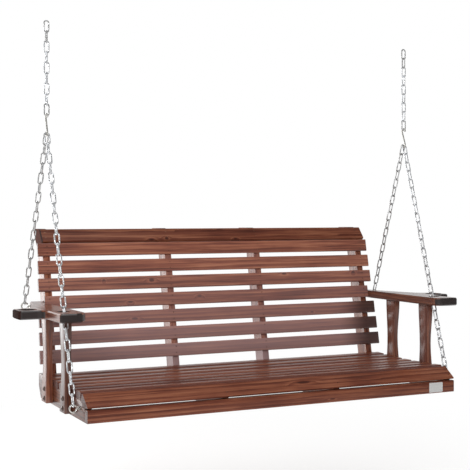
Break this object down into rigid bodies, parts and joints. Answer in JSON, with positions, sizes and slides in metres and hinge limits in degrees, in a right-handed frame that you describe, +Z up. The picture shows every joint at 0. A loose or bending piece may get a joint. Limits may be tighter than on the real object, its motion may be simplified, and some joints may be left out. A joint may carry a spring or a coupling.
{
  "type": "porch swing bench",
  "caption": "Slatted wooden porch swing bench hung on chains and S-hooks, with shaped arms that hold cups.",
  "frame": {"origin": "midway between the inner bearings of the two top links, where the swing is hung up", "axes": "+X along the bench to its right end as seen from the front, +Y back towards the backrest, +Z up"},
  "size_m": [1.642, 0.7043, 1.2605],
  "materials": {
    "stained_wood": "reddish-brown stain under a glossy clear coat",
    "zinc_steel": "bright zinc plate"
  },
  "bodies": {
    "hangings": {"top_link_left": "zinc_steel", "top_link_right": "zinc_steel"},
    "swing_links": {"swing_link_left": "zinc_steel", "swing_link_right": "zinc_steel"},
    "left_chain": {"upper_chain_left": "zinc_steel"},
    "right_chain": {"upper_chain_right": "zinc_steel"},
    "hanger_links": {"hanger_link_left": "zinc_steel", "hanger_link_right": "zinc_steel"},
    "bench": {"apron": "stained_wood", "front_slat": "stained_wood", "crest_slat": "stained_wood", "back_slat_1": "stained_wood", "back_slat_2": "stained_wood", "back_slat_3": "stained_wood", "back_slat_4": "stained_wood", "back_slat_5": "stained_wood", "back_slat_6": "stained_wood", "back_slat_7": "stained_wood", "seat_slat_1": "stained_wood", "seat_slat_2": "stained_wood", "seat_slat_3": "stained_wood", "seat_slat_4": "stained_wood", "seat_slat_5": "stained_wood", "seat_slat_6": "stained_wood", "seat_slat_7": "stained_wood", "side_rail_left": "stained_wood", "side_rail_right": "stained_wood", "seat_rib_left": "stained_wood", "seat_rib_right": "stained_wood", "stile_left": "stained_wood", "stile_right": "stained_wood", "middle_stile_left": "stained_wood", "middle_stile_right": "stained_wood", "front_post_left": "stained_wood", "front_post_right": "stained_wood", "rear_post_left": "stained_wood", "rear_post_right": "stained_wood", "arm_left": "stained_wood", "arm_right": "stained_wood", "post_bolt_left_1": "zinc_steel", "post_bolt_left_2": "zinc_steel", "post_bolt_left_3": "zinc_steel", "post_bolt_left_4": "zinc_steel", "post_bolt_right_1": "zinc_steel", "post_bolt_right_2": "zinc_steel", "post_bolt_right_3": "zinc_steel", "post_bolt_right_4": "zinc_steel", "s_hook_left": "zinc_steel", "s_hook_right": "zinc_steel", "front_eye_bolt_left": "zinc_steel", "front_eye_bolt_right": "zinc_steel", "rear_eye_bolt_left": "zinc_steel", "rear_eye_bolt_right": "zinc_steel", "front_chain_left": "zinc_steel", "front_chain_right": "zinc_steel", "rear_chain_left": "zinc_steel", "rear_chain_right": "zinc_steel"}
  },
  "joints": [
    {"name": "swing", "type": "hinge", "parent": "hangings", "child": "swing_links", "pos_m": [0, 0, -0.03598], "axis": [1, 0, 0], "range_deg": [-20, 20]},
    {"name": "sway", "type": "hinge", "parent": "swing_links", "child": "left_chain", "pos_m": [-0.699, 0, -0.06958], "axis": [0, 1, 0], "range_deg": [-8, 8]},
    {"name": "right_sway", "type": "hinge", "parent": "swing_links", "child": "right_chain", "pos_m": [0.699, 0, -0.06958], "axis": [0, 1, 0], "range_deg": [-8, 8]},
    {"name": "level", "type": "hinge", "parent": "left_chain", "child": "hanger_links", "pos_m": [-0.699, 0, -0.27368], "axis": [0, 1, 0], "range_deg": [-8, 8]},
    {"name": "pitch", "type": "hinge", "parent": "hanger_links", "child": "bench", "pos_m": [0, 0, -0.30728], "axis": [1, 0, 0], "range_deg": [-12, 12]}
  ],
  "couplings": [
    {"joint": "right_sway", "follows": "sway", "ratio": 1},
    {"joint": "level", "follows": "sway", "ratio": -1}
  ]
}
